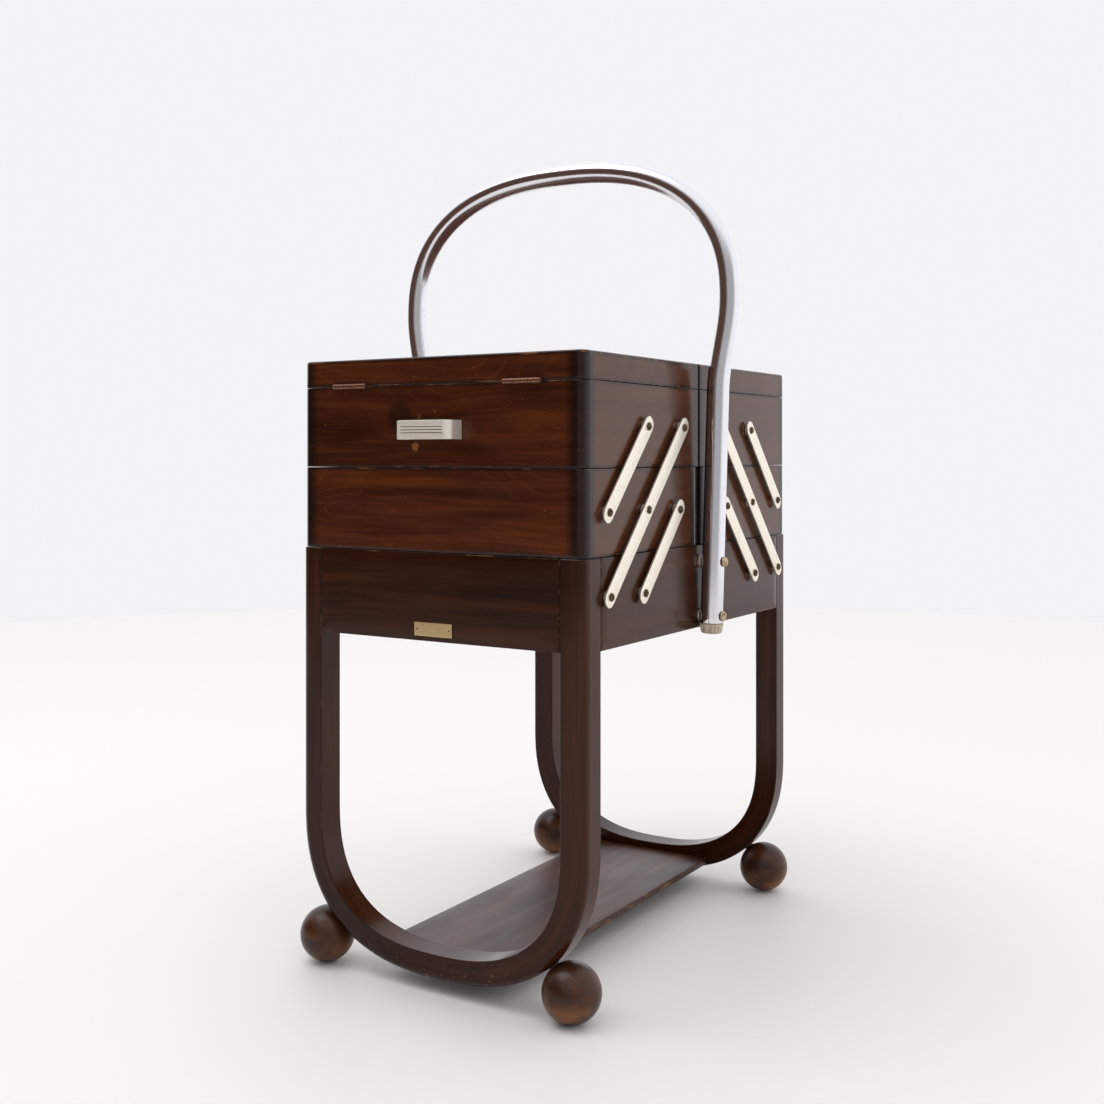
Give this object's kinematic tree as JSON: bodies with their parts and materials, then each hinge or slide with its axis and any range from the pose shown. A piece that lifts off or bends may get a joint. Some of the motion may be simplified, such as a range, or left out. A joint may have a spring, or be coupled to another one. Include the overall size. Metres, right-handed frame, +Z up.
{
  "type": "sewing box with trays",
  "caption": "Wooden cantilever sewing box on bent leg frames with ball feet, a tube handle, a shelf and trays with hinged lids that swing out on metal links.",
  "frame": {"origin": "on the floor under the middle of the box, between the ball feet", "axes": "+Z up, +X along the trays' long outer faces from left to right as seen from the front, -Y towards the front face with the plate"},
  "size_m": [0.4058, 0.488, 0.7975],
  "materials": {
    "cabinet_wood": "dark brown semi-gloss lacquer over straight-grained wood",
    "tray_wood": "red-brown semi-gloss lacquer over wavy-grained wood",
    "plywood": "thin plywood board",
    "ball_wood": "turned wood with worn lacquer",
    "chrome": "polished plating with fine wear",
    "nickel": "warm dulled nickel plating",
    "aluminium": "satin strip with lengthwise grooves",
    "coppered_steel": "copper-coloured plating gone brown",
    "brass": "blank stamped sheet",
    "cap_plastic": "moulded beige end cap, worn"
  },
  "bodies": {
    "stand": {"front_leg_frame": "cabinet_wood", "back_leg_frame": "cabinet_wood", "box_front_panel": "cabinet_wood", "box_back_panel": "cabinet_wood", "box_left_panel": "cabinet_wood", "box_right_panel": "cabinet_wood", "box_bottom": "plywood", "shelf": "cabinet_wood", "front_plate": "brass", "handle_tube": "chrome", "ball_foot_front_left": "ball_wood", "ball_foot_front_right": "ball_wood", "ball_foot_back_left": "ball_wood", "ball_foot_back_right": "ball_wood", "handle_cap_left": "cap_plastic", "handle_screw_left_lower": "nickel", "handle_spacer_left_lower": "nickel", "handle_screw_left_upper": "nickel", "handle_spacer_left_upper": "nickel", "handle_cap_right": "cap_plastic", "handle_screw_right_lower": "nickel", "handle_spacer_right_lower": "nickel", "handle_screw_right_upper": "nickel", "handle_spacer_right_upper": "nickel"},
    "front_long_links": {"front_long_link_left": "nickel", "front_long_link_right": "nickel"},
    "front_upper_links": {"front_upper_link_left": "nickel", "front_upper_link_right": "nickel"},
    "front_lower_links": {"front_lower_link_left": "nickel", "front_lower_link_right": "nickel"},
    "front_mid_tray_body": {"front_mid_tray": "tray_wood", "front_mid_tray_bottom": "plywood"},
    "front_top_tray_body": {"front_top_tray": "tray_wood", "front_top_tray_bottom": "plywood", "front_pull": "aluminium", "front_hinge_left_tray_leaf": "coppered_steel", "front_hinge_left_pin": "coppered_steel", "front_hinge_right_tray_leaf": "coppered_steel", "front_hinge_right_pin": "coppered_steel"},
    "front_lid_body": {"front_lid": "tray_wood", "front_hinge_left_lid_leaf": "coppered_steel", "front_hinge_right_lid_leaf": "coppered_steel"},
    "back_long_links": {"back_long_link_left": "nickel", "back_long_link_right": "nickel"},
    "back_upper_links": {"back_upper_link_left": "nickel", "back_upper_link_right": "nickel"},
    "back_lower_links": {"back_lower_link_left": "nickel", "back_lower_link_right": "nickel"},
    "back_mid_tray_body": {"back_mid_tray": "tray_wood", "back_mid_tray_bottom": "plywood"},
    "back_top_tray_body": {"back_top_tray": "tray_wood", "back_top_tray_bottom": "plywood", "back_pull": "aluminium", "back_hinge_left_tray_leaf": "coppered_steel", "back_hinge_left_pin": "coppered_steel", "back_hinge_right_tray_leaf": "coppered_steel", "back_hinge_right_pin": "coppered_steel"},
    "back_lid_body": {"back_lid": "tray_wood", "back_hinge_left_lid_leaf": "coppered_steel", "back_hinge_right_lid_leaf": "coppered_steel"}
  },
  "joints": [
    {"name": "front_fold", "type": "hinge", "parent": "stand", "child": "front_long_links", "pos_m": [0, -0.1887, 0.3685], "axis": [1, 0, 0], "range_deg": [0, 87.4]},
    {"name": "front_mid_level", "type": "hinge", "parent": "front_long_links", "child": "front_mid_tray_body", "pos_m": [0, -0.11815, 0.4423], "axis": [1, 0, 0], "range_deg": [-87.4, 0]},
    {"name": "front_top_level", "type": "hinge", "parent": "front_long_links", "child": "front_top_tray_body", "pos_m": [0, -0.0452, 0.5186], "axis": [1, 0, 0], "range_deg": [-87.4, 0]},
    {"name": "front_upper_link_turn", "type": "hinge", "parent": "front_mid_tray_body", "child": "front_upper_links", "pos_m": [0, -0.18955, 0.4423], "axis": [1, 0, 0], "range_deg": [0, 87.4]},
    {"name": "front_lower_link_turn", "type": "hinge", "parent": "stand", "child": "front_lower_links", "pos_m": [0, -0.1247, 0.3665], "axis": [1, 0, 0], "range_deg": [0, 87.4]},
    {"name": "front_lid_turn", "type": "hinge", "parent": "front_top_tray_body", "child": "front_lid_body", "pos_m": [0, -0.2269, 0.55725], "axis": [1, 0, 0], "range_deg": [0, 180]},
    {"name": "back_fold", "type": "hinge", "parent": "stand", "child": "back_long_links", "pos_m": [0, 0.1887, 0.3685], "axis": [-1, 0, 0], "range_deg": [0, 87.4]},
    {"name": "back_mid_level", "type": "hinge", "parent": "back_long_links", "child": "back_mid_tray_body", "pos_m": [0, 0.11815, 0.4423], "axis": [-1, 0, 0], "range_deg": [-87.4, 0]},
    {"name": "back_top_level", "type": "hinge", "parent": "back_long_links", "child": "back_top_tray_body", "pos_m": [0, 0.0452, 0.5186], "axis": [-1, 0, 0], "range_deg": [-87.4, 0]},
    {"name": "back_upper_link_turn", "type": "hinge", "parent": "back_mid_tray_body", "child": "back_upper_links", "pos_m": [0, 0.18955, 0.4423], "axis": [-1, 0, 0], "range_deg": [0, 87.4]},
    {"name": "back_lower_link_turn", "type": "hinge", "parent": "stand", "child": "back_lower_links", "pos_m": [0, 0.1247, 0.3665], "axis": [-1, 0, 0], "range_deg": [0, 87.4]},
    {"name": "back_lid_turn", "type": "hinge", "parent": "back_top_tray_body", "child": "back_lid_body", "pos_m": [0, 0.2269, 0.55725], "axis": [-1, 0, 0], "range_deg": [0, 180]}
  ],
  "couplings": [
    {"joint": "front_mid_level", "follows": "front_fold", "ratio": -1},
    {"joint": "front_top_level", "follows": "front_fold", "ratio": -1},
    {"joint": "front_upper_link_turn", "follows": "front_fold", "ratio": 1},
    {"joint": "front_lower_link_turn", "follows": "front_fold", "ratio": 1},
    {"joint": "back_mid_level", "follows": "back_fold", "ratio": -1},
    {"joint": "back_top_level", "follows": "back_fold", "ratio": -1},
    {"joint": "back_upper_link_turn", "follows": "back_fold", "ratio": 1},
    {"joint": "back_lower_link_turn", "follows": "back_fold", "ratio": 1}
  ]
}
